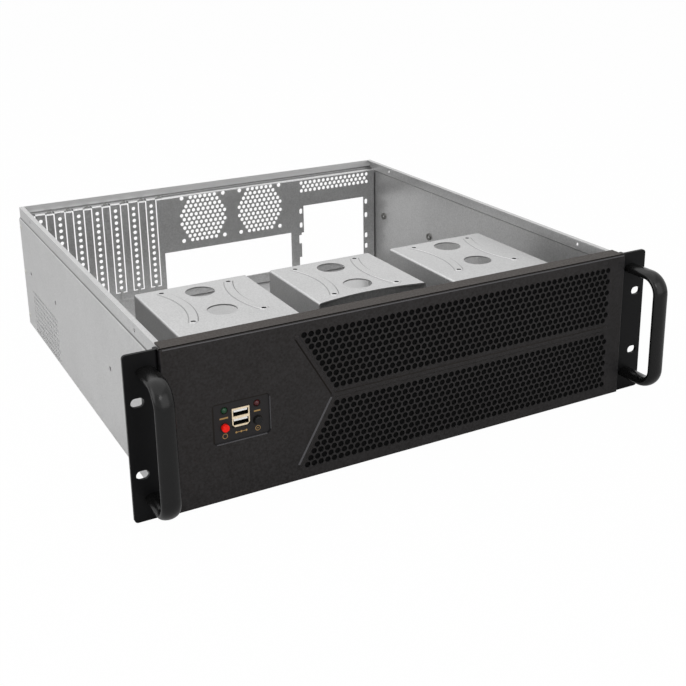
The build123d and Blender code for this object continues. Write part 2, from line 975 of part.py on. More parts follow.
def drive_cage(name):
    """One inverted channel on two feet, open at the front below its lip and at the rear."""
    centre = cage_centres()[name]
    half = cage_width / 2
    front = cage_start(name)
    section = mirrored([
        (half + cage_foot, sheet), (half + cage_foot, 2 * sheet),
        (half, 2 * sheet), (half, cage_top),
    ])
    inner = mirrored([(half - sheet, sheet), (half - sheet, cage_top - sheet)])
    section = fillet(section.vertices().group_by(Axis.Y)[-1], fold_radius) - inner
    cage = extrude(Plane.XZ.offset(-cage_back) * section, amount=cage_back - front)
    cage += cage_front_lip(name)
    for side in sides:
        cage += cage_bead(side, cage_top)
    for side in sides:
        cage -= cage_bead(side, cage_top - sheet)
    for y in (cage_port_front, cage_port_back):
        cage -= Pos(0, y, cage_top - 2 * sheet) * rod(cage_port, 3 * sheet)
    for i in sides:
        for j in sides:
            x = i * cage_hole_x / 2
            y = cage_hole_centre + j * cage_hole_y / 2
            top = cage_top + bead_height
            sink = taper_rod(cage_hole, cage_sink, cage_sink_depth)
            cage -= Pos(x, y, top - cage_sink_depth) * sink
            cage -= Pos(x, y, top - 3 * sheet) * rod(cage_hole, 3 * sheet)
    if name == "middle":
        cage -= middle_scoop_cut(half, front)
    cage = Pos(centre, 0, 0) * cage
    for place in cage_rivet_places():
        cage -= place * rivet_hole(2 * sheet)
    return cage


def middle_scoop_cut(half, front):
    """Shallow arc cut from the front edge of the middle cage's top."""
    reach = half - fold_radius
    arc = ThreePointArc((-reach, front), (0, front + middle_scoop), (reach, front))
    chord = Line((reach, front), (-reach, front))
    outline = make_face(arc + chord)
    return Pos(0, 0, cage_top - 2 * sheet) * extrude(outline, amount=3 * sheet)


# Small parts of the tray


def standoffs():
    """Six-sided posts for the main board, standing on the floor."""
    post = extrude(RegularPolygon(standoff_flats / 2, 6, major_radius=False), amount=standoff_height)
    post -= rod(standoff_bore, standoff_height)
    places = []
    for dx in standoff_columns:
        for dy in standoff_rows:
            y = panel_y - standoff_setback - dy
            places.append(Pos(standoff_first_x + dx, y, sheet) * post)
    return places


def rail_nuts():
    """Clinched nuts inside the side walls, behind the slide rails' holes."""
    nut = rod(rail_nut, rail_nut_height) - rod(rail_hole, rail_nut_height)
    nuts = []
    for side in sides:
        for y in rail_hole_y:
            seat = Pos(side * (half_width - sheet), y, rail_hole_z)
            nuts.append(seat * Rot(0, -side * 90, 0) * nut)
    return nuts


# Write every node


os.makedirs("parts", exist_ok=True)
save("chassis_tray", chassis_tray())
save("front_panel", front_panel())
save("dust_screen", dust_screen())
save("rear_panel", rear_panel())
for index, cover_x in enumerate(slot_centres()):
    save(f"slot_cover_{index + 1}", slot_cover(cover_x))
save("slot_cover_screws", *cover_screws())
for name in cage_centres():
    save(f"drive_cage_{name}", drive_cage(name))
save("cage_rivets", *[place * rivet(2 * sheet) for place in cage_rivet_places()])
save("panel_rivets", *[place * rivet(2 * sheet) for place in panel_rivet_places()])
for side_name, side in (("left", -1), ("right", 1)):
    save(f"ear_{side_name}", ear(side))
    save(f"handle_{side_name}", handle(side))
save("ear_screws", *[place * sunk_screw(ear_thickness + 2 * sheet) for place in ear_screw_places()])
save("handle_screws", *[place * sunk_screw(handle_screw_depth) for place in handle_screw_places()])
save("control_plate", control_plate())
save("control_board", control_board())
save("board_screws", *board_screws())
save("power_button", button(power_x, power_radius, plate_y - power_proud))
save("reset_button", button(reset_x, reset_radius, plate_y - reset_proud))
save("power_switch", switch(power_x))
save("reset_switch", switch(reset_x))
save("power_led", led(window_x - led_offset_x))
save("drive_led", led(window_x + led_offset_x))
save("usb_shell", usb_shell())
save("usb_tongues", *usb_tongues())
save("board_standoffs", *standoffs())
save("rail_nuts", *rail_nuts())
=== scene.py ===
import json
import math

import bmesh
import bpy
from mathutils import Matrix, Vector


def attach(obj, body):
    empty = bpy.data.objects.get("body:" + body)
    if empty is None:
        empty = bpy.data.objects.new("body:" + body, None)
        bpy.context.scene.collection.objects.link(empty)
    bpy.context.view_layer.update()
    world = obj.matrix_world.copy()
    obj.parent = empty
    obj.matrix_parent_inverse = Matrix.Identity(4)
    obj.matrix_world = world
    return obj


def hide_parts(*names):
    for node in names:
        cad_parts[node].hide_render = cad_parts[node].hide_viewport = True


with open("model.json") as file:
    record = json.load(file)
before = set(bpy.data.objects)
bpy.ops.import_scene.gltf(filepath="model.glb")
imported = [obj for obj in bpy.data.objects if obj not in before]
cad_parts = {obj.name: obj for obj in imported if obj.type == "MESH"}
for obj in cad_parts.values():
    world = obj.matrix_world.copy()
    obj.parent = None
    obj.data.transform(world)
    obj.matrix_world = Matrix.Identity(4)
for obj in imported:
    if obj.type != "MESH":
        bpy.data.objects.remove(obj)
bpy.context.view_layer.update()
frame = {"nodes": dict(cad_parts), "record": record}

# Empty rackmount server case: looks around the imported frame, in metres.
# Sizes below are written in millimetres, as in the source of the solids.

MM = 0.001

# Camera, from the photograph's perspective
CAMERA_PLACE = (-430.39, -688.28, 425.65)
CAMERA_TURN = -28.018
CAMERA_RISE = 16.939
CAMERA_ROLL = -0.914
CAMERA_LENS = 56.63
CAMERA_SHIFT = -0.15

# Front pan and its two perforated fields. A pair is the middle of a slab and half its thickness,
# and the ridge's lean is the unit normal of a flank of its fork, but for the signs.
PAN_MIDDLE = 66.4
PAN_WALL_Y = -5.4
FIELD_FIRST_ROW = 7.6
FIELD_ROW_PITCH = 5.2
FIELD_ROWS = 10
FIELD_START = -75.0
FIELD_LEAN = 2.975
FIELD_PITCH = 5.95
FIELD_END = 196.0
FIELD_HOLE = 2.5
RIDGE_X = -77.0
RIDGE_END_X = 195.5
RIDGE_FLANK = 1.88
RIDGE_LEAN = (0.866, 0.5)
RIDGE_FOOT_Z = 14.0
RIDGE_HEAD_Z = 119.0
SEAM_Y = -4.4
SEAM_Z = 132.6
PAN_SIDE_X = 214.6
PAN_HALF_WIDTH = 213.0
PAN_HALF_HEIGHT = 62.0
PAN_TOP_EDGE_Z = 131.6
PAN_FRONT = (-6.0, 1.3)
PAN_FLANGE_DEPTH = (3.5, 7.3)
PAN_FLANGE_HEIGHT = (133.0, 0.9)

# Vent in the left wall
VENT_X = -214.4
VENT_FIRST_Y = 312.5
VENT_LAST_Y = 412.5
VENT_FIRST_Z = 5.0
VENT_ROW_PITCH = 5.3
VENT_ROWS = 9
VENT_PITCH = 6.1
VENT_HOLE = 1.9

# Rear panel, its fan grilles, its strip and the slot covers
PANEL_Y = 436.9
FAN_CENTRES = (-12.0, 58.5)
FAN_Z = 93.9
FAN_PITCH_X = 5.8
FAN_PITCH_Z = 5.0
FAN_RADIUS = 28.95
STRIP_FIRST_X = 113.0
STRIP_PITCH = 5.93
STRIP_COLUMNS = 16
STRIP_TOP_Z = 117.2
STRIP_RISE = 4.75
STRIP_ROWS = 3
ROUND_HOLE = 2.16
SLOT_FIRST_X = -195.0
SLOT_PITCH = 20.32
SLOT_COUNT = 7
COVER_HOLES = 14
COVER_HOLE_TOP = 115.3
COVER_HOLE_PITCH = 6.85
COVER_HOLE = 2.06

# Control plate, its window in the pan, and the double socket. Places on the plate are (x, z).
PLATE_FACE_Y = -4.8
WINDOW_LEFT = -178.65
WINDOW_RIGHT = -131.95
WINDOW_BOTTOM = 47.9
WINDOW_TOP = 80.9
SOCKET_CENTRE = (-155.5, 66.4)
SOCKET_HALF = 6.3
SOCKET_LIP_Y = -4.6
# The gap sizes below give the reach of the painted shadow round the socket, the lamps and the buttons.
SOCKET_GAP = (7.6, 8.0)
CONTACT_COLUMNS = (-3.5, -1.2, 1.2, 3.5)
CONTACT_HEIGHTS = (63.4, 70.6)
CONTACT_INSET = 0.6
POWER_LAMP = (-168.5, 74.1)
DRIVE_LAMP = (-142.1, 74.1)
LAMP_GAP = 3.2
POWER_BUTTON = (-168.6, 60.4)
POWER_BUTTON_GAP = 3.6
RESET_BUTTON = (-142.0, 60.4)
RESET_BUTTON_GAP = 3.9
POWER_BAR = (-169.0, 67.9, 3.4, 0.6)
DRIVE_BAR = (-142.1, 67.9, 2.6, 0.6)
POWER_RING = (-168.6, 53.2)
RESET_RING = (-142.0, 53.6)
RING_RADIUS = 1.9
RING_LINE = 0.23
RING_DOT = 0.5
SOCKET_BAR = (-155.5, 54.2, 4.0, 0.25)
SOCKET_DOT = 0.8
SOCKET_DOT_STEP = 4.1

# Folds and strips where shade or light is painted, each as the middle of a slab and half its thickness
STRIP_CREASE_HEIGHT = (120.3, 0.45)
WALL = (213.5, 3.0)
PANEL_EDGE = (213.6, 1.2)
LEDGE_DEPTH = (442.0, 4.3)
LEDGE_HEIGHT = (122.9, 0.9)
RIM_DEPTH = (446.0, 0.4)
RIM_HEIGHT = (128.2, 3.2)
RIM_CREASE_DEPTH = (446.0, 0.9)
RIM_CREASE_HEIGHT = (123.8, 0.6)

# Drive cages
CAGE_PITCH = 127.4
CAGE_MIDDLE_Y = 118.0
CAGE_HOLE_X = 30.86
CAGE_HOLE_Y = 38.3
CAGE_HOLE_RIM = 2.1
BEAD_REACH = 39.0
BEAD_LINE = 0.4
BEAD_CENTRE_X = 121.0
BEAD_NEAR = 101.9
BEAD_FAR = 93.95

# The lid flange shows about half as wide in the photograph as the solid has it. What is cut
# from it lies between these places across, deep and high.
FLANGE_TRIM = (204.0, 209.2)
FLANGE_TRIM_DEPTH = (5.0, 452.0)
FLANGE_TRIM_HEIGHT = (129.0, 133.0)

# Seats of the screws and rivets
COVER_SCREW_Y = 439.9
COVER_SCREW_Z = 123.5
EAR_FACE_X = 217.5
EAR_SCREW_Y = 27.0
EAR_SCREW_ROWS = (30.1, 66.1, 102.1)
HANDLE_X = 225.0
HANDLE_SCREW_ROWS = (17.5, 117.5)
BOARD_FACE_Y = 11.6
BOARD_SCREW_COLUMNS = (-179.25, -131.35)
BOARD_SCREW_ROWS = (47.3, 81.5)
CAGE_RIVET_Z = 2.4
OUTER_CAGE_RIVETS = (-184.2, -70.6, 70.6, 184.2)
OUTER_RIVET_ROWS = (68.5, 148.0)
MIDDLE_CAGE_RIVETS = (-56.8, 56.8)
MIDDLE_RIVET_ROWS = (84.0, 148.0)
WALL_FACE_X = 215.0
PANEL_RIVET_Y = 442.25
PANEL_RIVET_ROWS = (12.0, 61.5, 111.0)

# A face whose normal lies this close to an axis is flat sheet
FLAT = 0.9999

# Lamps as (place, aim, size, power), in metres and watts
LAMPS = {
    "lamp_above": ((-0.3, 0.5, 1.6), (0, 0.22, 0.05), 3.0, 20.5),
    "lamp_left": ((-1.7, 0.1, 0.7), (0, 0.22, 0.05), 1.2, 8.0),
    "lamp_front": ((-0.5, -1.5, 1.5), (0, 0.05, 0.08), 0.45, 4.0),
    "lamp_fill": ((0.4, -2.2, 1.2), (0, 0.2, 0.08), 2.4, 22.0),
}


# Materials


def shade(code):
    """A hex sRGB colour as the linear colour that a shader takes."""
    channels = [int(code[i:i + 2], 16) / 255 for i in (1, 3, 5)]
    return tuple(c / 12.92 if c <= 0.04045 else ((c + 0.055) / 1.055) ** 2.4 for c in channels) + (1.0,)


def add(tree, kind, settings=None, links=None):
    """Add one node, with its own settings, its sockets' values and what feeds them."""
    node = tree.nodes.new(kind)
    for name, value in (settings or {}).items():
        if isinstance(name, str) and hasattr(node, name):
            setattr(node, name, value)
        else:
            node.inputs[name].default_value = value
    for name, socket in (links or {}).items():
        tree.links.new(socket, node.inputs[name])
    return node


def finish(name, colour, second, blotch, grain, depth, rough, speckle=0.5, **sockets):
    """A material of two close colours in blotches, with a fine grain that stands out of the surface.

    Blotch, grain and depth are sizes in millimetres; rough is the range of roughness, and
    speckle is the share of the colour that follows the grain and not the blotches.
    """
    material = bpy.data.materials.new(name)
    material.use_nodes = True
    tree = material.node_tree
    tree.nodes.clear()
    place = add(tree, "ShaderNodeTexCoord")
    cloud = add(
        tree, "ShaderNodeTexNoise",
        {"Scale": 1 / (blotch * MM), "Detail": 3.0, "Roughness": 0.55},
        {"Vector": place.outputs["Object"]},
    )
    fine = add(
        tree, "ShaderNodeTexNoise",
        {"Scale": 1 / (grain * MM), "Detail": 2.0, "Roughness": 0.6},
        {"Vector": place.outputs["Object"]},
    )
    both = add(
        tree, "ShaderNodeMix", {"data_type": "FLOAT", 0: speckle},
        {2: cloud.outputs["Fac"], 3: fine.outputs["Fac"]},
    )
    spread = add(
        tree, "ShaderNodeMapRange", {"From Min": 0.3, "From Max": 0.7},
        {"Value": both.outputs[0]},
    )
    tint = add(
        tree, "ShaderNodeMix", {"data_type": "RGBA", 6: shade(colour), 7: shade(second)},
        {0: spread.outputs[0]},
    )
    roughness = add(
        tree, "ShaderNodeMapRange",
        {"From Min": 0.3, "From Max": 0.7, "To Min": rough[0], "To Max": rough[1]},
        {"Value": fine.outputs["Fac"]},
    )
    bump = add(
        tree, "ShaderNodeBump", {"Strength": 1.0, "Distance": depth * MM},
        {"Height": fine.outputs["Fac"]},
    )
    surface = add(
        tree, "ShaderNodeBsdfPrincipled", {"name": "surface", **sockets},
        {
            "Base Color": tint.outputs[2],
            "Roughness": roughness.outputs[0],
            "Normal": bump.outputs["Normal"],
        },
    )
    add(tree, "ShaderNodeOutputMaterial", {}, {"Surface": surface.outputs[0]})
    return material


def mask_band(tree, axis, middle, half):
    """One on a slab across an axis of the object, nothing outside it."""
    place = add(tree, "ShaderNodeTexCoord")
    parts = add(tree, "ShaderNodeSeparateXYZ", {}, {0: place.outputs["Object"]})
    return add(
        tree, "ShaderNodeMath", {"operation": "COMPARE", 1: middle * MM, 2: half * MM},
        {0: parts.outputs[axis]},
    ).outputs[0]


def mask_sides(tree, x, half):
    """One on a slab at the left and on its mirror image at the right."""
    return either_of(tree, [mask_band(tree, "X", -x, half), mask_band(tree, "X", x, half)])


def mask_bar(tree, x, z, half_x, half_z):
    """One on an upright rectangle seen from the front."""
    return both_of(tree, mask_band(tree, "X", x, half_x), mask_band(tree, "Z", z, half_z))


def mask_ring(tree, x, z, radius, half):
    """One on a ring seen from the front, or on a disc where the radius is nothing."""
    place = add(tree, "ShaderNodeTexCoord")
    flat = add(
        tree, "ShaderNodeVectorMath", {"operation": "MULTIPLY", 1: (1, 0, 1)},
        {0: place.outputs["Object"]},
    )
    reach = add(
        tree, "ShaderNodeVectorMath", {"operation": "DISTANCE", 1: (x * MM, 0, z * MM)},
        {0: flat.outputs[0]},
    )
    return add(
        tree, "ShaderNodeMath", {"operation": "COMPARE", 1: radius * MM, 2: half * MM},
        {0: reach.outputs["Value"]},
    ).outputs[0]


def both_of(tree, first, second):
    """Where two masks both hold."""
    return add(tree, "ShaderNodeMath", {"operation": "MULTIPLY"}, {0: first, 1: second}).outputs[0]


def either_of(tree, masks):
    """Where any of several masks holds."""
    joined = masks[0]
    for mask in masks[1:]:
        joined = add(tree, "ShaderNodeMath", {"operation": "MAXIMUM"}, {0: joined, 1: mask}).outputs[0]
    return joined


def mask_slant(tree, lean_x, lean_z, low, high):
    """One along a flank of the ridge's fork, between two heights. The lean is its unit normal."""
    place = add(tree, "ShaderNodeTexCoord")
    reach = add(
        tree, "ShaderNodeVectorMath", {"operation": "DOT_PRODUCT", 1: (lean_x, 0, lean_z)},
        {0: place.outputs["Object"]},
    )
    from_vertex = lean_x * RIDGE_X + lean_z * PAN_MIDDLE + RIDGE_FLANK
    line = add(
        tree, "ShaderNodeMath", {"operation": "COMPARE", 1: from_vertex * MM, 2: 0.5 * MM},
        {0: reach.outputs["Value"]},
    )
    return both_of(tree, line.outputs[0], mask_band(tree, "Z", (low + high) / 2, (high - low) / 2))


def overlay(material, mask, colour):
    """Lay a second colour over a material where a mask holds."""
    tree = material.node_tree
    surface = tree.nodes["surface"]
    under = surface.inputs["Base Color"].links[0].from_socket
    laid = add(
        tree, "ShaderNodeMix", {"data_type": "RGBA", 7: shade(colour)}, {0: mask, 6: under},
    )
    tree.links.new(laid.outputs[2], surface.inputs["Base Color"])


# Electro-galvanised steel sheet, rolled and zinc-plated: an even pale grey with a fine grain
# and a broad soft sheen. The grain is drawn at 1.3 mm, coarser than the real one, so it shows.
ZINC = ("#B0B0B0", "#CECECE", 60, 1.3, 0.02, (0.3, 0.4), 0.8)
ZINC_METALLIC = 0.78
zinc_sheet = finish("galvanised_steel_rolled", *ZINC, Metallic=ZINC_METALLIC)

# The same sheet where it is folded into the tray, with a painted shadow line along the joggle.
folded_zinc_sheet = finish("galvanised_steel_folded", *ZINC, Metallic=ZINC_METALLIC)

# The same sheet at the back, with painted shade, darker on its ledge and dark along its folds,
# and painted light, bright on the rim above.
shaded_and_lit_zinc_sheet = finish("galvanised_steel_rubbed", *ZINC, Metallic=ZINC_METALLIC)

# The same sheet in the cages: pressed, with painted shade down in its screw holes and along its beads.
pressed_zinc_sheet = finish("galvanised_steel_pressed", *ZINC, Metallic=ZINC_METALLIC)

# Black polyester powder coat, baked: matt, with a fine orange peel that catches light in specks.
# The peel is drawn at 1.7 mm, about three times the real one, so that it shows.
black_powder_coat = finish(
    "powder_coat_fine_texture", "#121315", "#2A2A2C", 25, 1.7, 0.1, (0.42, 0.62), 0.85,
    **{"Specular IOR Level": 0.25, "Specular Tint": shade("#FFEFE2")},
)

# The same coat on the control plate, with flat gold marks printed on it through a screen.
printed_powder_coat = finish(
    "powder_coat_screen_printed", "#191A1D", "#222326", 25, 1.0, 0.05, (0.46, 0.6), 0.8,
    **{"Specular IOR Level": 0.26, "Specular Tint": shade("#FFEFE2")},
)

# Black acrylic enamel, sprayed on steel ears: smooth and deep, so it shows little but its edges.
black_enamel = finish(
    "enamel_sprayed_deep_black", "#0F0F10", "#151516", 30, 1.4, 0.006, (0.36, 0.44),
    **{"Specular IOR Level": 0.11},
)

# Aluminium handles, anodised black: a dark grey skin that takes soft highlights at its bends.
black_anodised = finish(
    "aluminium_anodised_black", "#0C0C0C", "#121212", 30, 1.0, 0.006, (0.2, 0.28),
    **{"Specular IOR Level": 0.26},
)

# Zinc-plated steel, cold-headed: brighter and smoother than the sheet, as plated screws are.
plated_screw = finish(
    "zinc_plated_steel_headed", "#C2C2BE", "#D2D1CB", 3, 0.5, 0.004, (0.25, 0.35),
    Metallic=0.9,
)

# Blackened steel, cold-headed: a dark oxide with an oily gleam.
blackened_screw = finish(
    "black_oxide_steel_headed", "#1C1C1C", "#262524", 3, 0.5, 0.004, (0.3, 0.4),
    Metallic=0.6,
)

# Brass, turned: yellow, with fine lathe rings that the grain stands for.
turned_brass = finish(
    "brass_turned", "#B99242", "#CDA654", 4, 0.4, 0.006, (0.22, 0.34),
    Metallic=1.0,
)

# Phosphor bronze leaf, stamped and flash-plated with gold: pale, and bright at its nose.
stamped_bronze = finish(
    "phosphor_bronze_stamped", "#C9A36A", "#DAB882", 3, 0.4, 0.003, (0.25, 0.35),
    Metallic=1.0,
)

# Zinc-plated steel, a darker grey than the plated screws: the small screws and nuts inside the case; on
# the slot covers' screws it is painted shade.
darker_grey_screw = finish(
    "zinc_plated_steel_chromated", "#6C6C6A", "#7E7E7B", 3, 0.5, 0.004, (0.35, 0.45),
    Metallic=0.9,
)

# Fibreglass board with green solder resist, printed: a deep green with a satin film.
green_board = finish(
    "fibreglass_solder_resist", "#0E3B22", "#15492B", 8, 0.6, 0.01, (0.3, 0.42),
)

# Woven black gauze: dull threads with gaps. Its near-black is partly painted shade, so that the holes of
# the pan read as black.
black_gauze = finish(
    "nylon_gauze_woven", "#050505", "#0B0B0B", 2, 0.6, 0.12, (0.85, 0.95),
    **{"Specular IOR Level": 0.1},
)

# ABS, moulded: an even black with a faint spark-eroded grain.
black_moulding = finish(
    "abs_moulded_black", "#141415", "#1A1A1B", 4, 0.5, 0.01, (0.4, 0.5),
    **{"Specular IOR Level": 0.22},
)

# ABS, moulded against a polished die: a glossy red push button.
red_moulding = finish(
    "abs_moulded_red", "#F51A10", "#FF2A1D", 4, 0.8, 0.002, (0.14, 0.22),
    **{"Specular IOR Level": 0.15},
)

# Epoxy, cast and tinted: the two lamps, dark while they are off, with a wet gloss.
green_lamp = finish(
    "epoxy_cast_green", "#093A20", "#0D4A2A", 3, 0.8, 0.001, (0.2, 0.24),
    **{"Specular IOR Level": 0.36},
)
red_lamp = finish(
    "epoxy_cast_dark_red", "#3C070A", "#520C10", 3, 0.8, 0.001, (0.2, 0.24),
    **{"Specular IOR Level": 0.36},
)

# Thermoplastic polyester, moulded: the cream body and the white tongues of the double socket.
cream_moulding = finish(
    "polyester_moulded_cream", "#F3DDBA", "#FAE7C8", 4, 0.5, 0.008, (0.38, 0.46),
)
white_moulding = finish(
    "polyester_moulded_white", "#F6F6F4", "#FFFFFF", 4, 0.5, 0.008, (0.38, 0.46),
)


def print_marks(material):
    """Plain gold bars, rings and dots beside the controls, in place of any words or signs."""
    tree = material.node_tree
    marks = [
        mask_bar(tree, *POWER_BAR),
        mask_bar(tree, *DRIVE_BAR),
        mask_bar(tree, *SOCKET_BAR),
        mask_ring(tree, *POWER_RING, RING_RADIUS, RING_LINE),
        mask_ring(tree, *RESET_RING, RING_RADIUS, RING_LINE),
        mask_ring(tree, *RESET_RING, 0.0, RING_DOT),
    ]
    for step in (-1, 0, 1):
        x = SOCKET_BAR[0] + step * SOCKET_DOT_STEP
        marks.append(mask_ring(tree, x, SOCKET_BAR[1], 0.0, SOCKET_DOT))
    front = mask_band(tree, "Y", PLATE_FACE_Y, 0.3)
    overlay(material, both_of(tree, either_of(tree, marks), front), "#A88754")


def darken_plate_gaps(material):
    """Painted shadow on the plate: under the window's upper and left edges, and round each control."""
    tree = material.node_tree
    gaps = [
        mask_band(tree, "Z", WINDOW_TOP, 1.5),
        mask_band(tree, "X", WINDOW_LEFT, 1.8),
        mask_bar(tree, *SOCKET_CENTRE, *SOCKET_GAP),
        mask_ring(tree, *POWER_LAMP, 0.0, LAMP_GAP),
        mask_ring(tree, *DRIVE_LAMP, 0.0, LAMP_GAP),
        mask_ring(tree, *POWER_BUTTON, 0.0, POWER_BUTTON_GAP),
        mask_ring(tree, *RESET_BUTTON, 0.0, RESET_BUTTON_GAP),
    ]
    overlay(material, either_of(tree, gaps), "#070707")


def paint_pan_highlights(material):
    """The coat is painted paler on the pan's rolled edges and on its ridge's lower arm: painted
    highlights.

    Its top flange is a little lighter and browner: painted light, where it faces up.
    """
    tree = material.node_tree
    across = (WINDOW_LEFT + WINDOW_RIGHT) / 2
    up = (WINDOW_BOTTOM + WINDOW_TOP) / 2
    edges = [
        mask_bar(tree, across, WINDOW_BOTTOM - 0.1, 20.4, 0.35),
        mask_bar(tree, WINDOW_RIGHT + 0.1, up, 0.25, 13.5),
        mask_bar(tree, PAN_SIDE_X, PAN_MIDDLE, 0.4, PAN_HALF_HEIGHT),
        mask_bar(tree, 0.0, PAN_TOP_EDGE_Z, PAN_HALF_WIDTH, 0.35),
        mask_slant(tree, -RIDGE_LEAN[0], RIDGE_LEAN[1], RIDGE_FOOT_Z, PAN_MIDDLE - 1.4),
    ]
    front = mask_band(tree, "Y", *PAN_FRONT)
    overlay(material, both_of(tree, either_of(tree, edges), front), "#58585B")
    top = mask_band(tree, "Z", *PAN_FLANGE_HEIGHT)
    flange = both_of(tree, top, mask_band(tree, "Y", *PAN_FLANGE_DEPTH))
    overlay(material, flange, "#2D2927")


def darken_pan_creases(material):
    """Shadow in the seam behind the pan's top edge and along the flanks of its ridge."""
    tree = material.node_tree
    rib_middle = (RIDGE_X + RIDGE_END_X) / 2
    rib_half = (RIDGE_END_X - RIDGE_X) / 2
    creases = [
        both_of(tree, mask_band(tree, "Y", SEAM_Y, 0.7), mask_band(tree, "Z", SEAM_Z, 0.7)),
        mask_slant(tree, -RIDGE_LEAN[0], -RIDGE_LEAN[1], PAN_MIDDLE + 1.6, RIDGE_HEAD_Z),
        mask_slant(tree, RIDGE_LEAN[0], -RIDGE_LEAN[1], RIDGE_FOOT_Z, PAN_MIDDLE - 3.4),
        mask_bar(tree, rib_middle, PAN_MIDDLE - RIDGE_FLANK, rib_half, 0.4),
        mask_bar(tree, rib_middle, PAN_MIDDLE + RIDGE_FLANK, rib_half, 0.3),
    ]
    overlay(material, either_of(tree, creases), "#060606")


def paint_joggle_shadow(material):
    """A painted shadow: a dark line where each side wall steps in below its upper strip."""
    tree = material.node_tree
    crease = mask_band(tree, "Z", *STRIP_CREASE_HEIGHT)
    overlay(material, both_of(tree, mask_sides(tree, *WALL), crease), "#6A6A6A")


def paint_ledge_shade_and_rim_light(material):
    """Painted shade and light on the rear panel: its ledge is darker, its folds are dark, and its rim
    above them is bright.
    """
    tree = material.node_tree
    ledge = both_of(tree, mask_band(tree, "Y", *LEDGE_DEPTH), mask_band(tree, "Z", *LEDGE_HEIGHT))
    overlay(material, ledge, "#8E8E8E")
    overlay(material, mask_sides(tree, *PANEL_EDGE), "#5E5E5E")
    rim = both_of(tree, mask_band(tree, "Y", *RIM_DEPTH), mask_band(tree, "Z", *RIM_HEIGHT))
    overlay(material, rim, "#F4F4F4")
    crease_depth = mask_band(tree, "Y", *RIM_CREASE_DEPTH)
    crease = both_of(tree, crease_depth, mask_band(tree, "Z", *RIM_CREASE_HEIGHT))
    overlay(material, crease, "#5C5C5C")


def place_on_cage(tree):
    """The place on a cage's top, measured from the middle of its four screw holes."""
    half = CAGE_PITCH / 2 * MM
    place = add(tree, "ShaderNodeTexCoord")
    on_cage = add(
        tree, "ShaderNodeVectorMath", {"operation": "WRAP", 1: (half, 1, 1), 2: (-half, -1, -1)},
        {0: place.outputs["Object"]},
    )
    centred = add(
        tree, "ShaderNodeVectorMath", {"operation": "SUBTRACT", 1: (0, CAGE_MIDDLE_Y * MM, 0)},
        {0: on_cage.outputs[0]},
    )
    return add(
        tree, "ShaderNodeVectorMath", {"operation": "MULTIPLY", 1: (1, 1, 0)}, {0: centred.outputs[0]},
    ).outputs[0]


def mask_round(tree, place, centre, radius, half):
    """One on a ring on a cage's top, or on a disc where the radius is nothing."""
    reach = add(
        tree, "ShaderNodeVectorMath", {"operation": "DISTANCE", 1: (centre[0] * MM, centre[1] * MM, 0)},
        {0: place},
    )
    return add(
        tree, "ShaderNodeMath", {"operation": "COMPARE", 1: radius * MM, 2: half * MM},
        {0: reach.outputs["Value"]},
    ).outputs[0]


def paint_cage_top_shade(material):
    """Painted shade: the cages' screw holes are dark inside, and their beads are darker along both
    flanks.
    """
    tree = material.node_tree
    place = place_on_cage(tree)
    mirrored = add(tree, "ShaderNodeVectorMath", {"operation": "ABSOLUTE"}, {0: place})
    hole = mask_round(tree, mirrored.outputs[0], (CAGE_HOLE_X, CAGE_HOLE_Y), 0.0, CAGE_HOLE_RIM)
    overlay(material, hole, "#3C3C3C")
    on_bead = mask_band(tree, "Y", CAGE_MIDDLE_Y, BEAD_REACH)
    for left_radius, right_radius, colour in (
        (BEAD_NEAR, BEAD_FAR, "#747474"), (BEAD_FAR, BEAD_NEAR, "#9C9C9C"),
    ):
        flanks = [
            mask_round(tree, place, (-BEAD_CENTRE_X, 0), left_radius, BEAD_LINE),
            mask_round(tree, place, (BEAD_CENTRE_X, 0), right_radius, BEAD_LINE),
        ]
        overlay(material, both_of(tree, either_of(tree, flanks), on_bead), colour)


def darken_sockets(material):
    """Painted shade: the two sockets are dark inside, behind the cream rim of their body."""
    tree = material.node_tree
    inside = mask_bar(tree, *SOCKET_CENTRE, SOCKET_HALF, SOCKET_HALF)
    behind = mask_band(tree, "Y", SOCKET_LIP_Y + 20.0, 20.0)
    overlay(material, both_of(tree, inside, behind), "#0C0B0A")


# Gold print, and painted shadow, shade, light and highlights laid over the finishes
darken_plate_gaps(printed_powder_coat)
print_marks(printed_powder_coat)
paint_pan_highlights(black_powder_coat)
darken_pan_creases(black_powder_coat)
darken_sockets(cream_moulding)
paint_joggle_shadow(folded_zinc_sheet)
paint_ledge_shade_and_rim_light(shaded_and_lit_zinc_sheet)
paint_cage_top_shade(pressed_zinc_sheet)

SLOT_OF = {row["node"]: row["material_slot"] for row in frame["record"]["subparts"]}
SLOT_FINISH = {
    "zinc_sheet": zinc_sheet,
    "black_paint": black_powder_coat,
    "black_satin": black_enamel,
    "fastener_steel": plated_screw,
    "black_fastener": blackened_screw,
    "standoff_brass": turned_brass,
    "circuit_board": green_board,
    "black_gauze": black_gauze,
    "black_plastic": black_moulding,
    "red_plastic": red_moulding,
    "green_lens": green_lamp,
    "red_lens": red_lamp,
    "cream_plastic": cream_moulding,
    "white_plastic": white_moulding,
}


# Meshes


def put(name, mesh):
    """Show a mesh under a name, with its place in the mesh."""
    piece = bpy.data.objects.new(name, mesh)
    bpy.context.scene.collection.objects.link(piece)
    return piece


def merged_copy(name, node):
    """A closed copy of a CAD node's mesh, its loose triangles joined at their corners."""
    mesh = frame["nodes"][node].data.copy()
    form = bmesh.new()
    form.from_mesh(mesh)
    bmesh.ops.remove_doubles(form, verts=form.verts, dist=0.002 * MM)
    form.to_mesh(mesh)
    form.free()
    return put(name, mesh)


def place_mesh(name, places):
    """Points for a node tree, each with the turn that its instance takes."""
    mesh = bpy.data.meshes.new(name)
    mesh.from_pydata([[v * MM for v in point] for point, _ in places], [], [])
    turn = mesh.attributes.new("turn", "FLOAT_VECTOR", "POINT")
    for index, (_, angles) in enumerate(places):
        turn.data[index].vector = [math.radians(a) for a in angles]
    return put(name, mesh)


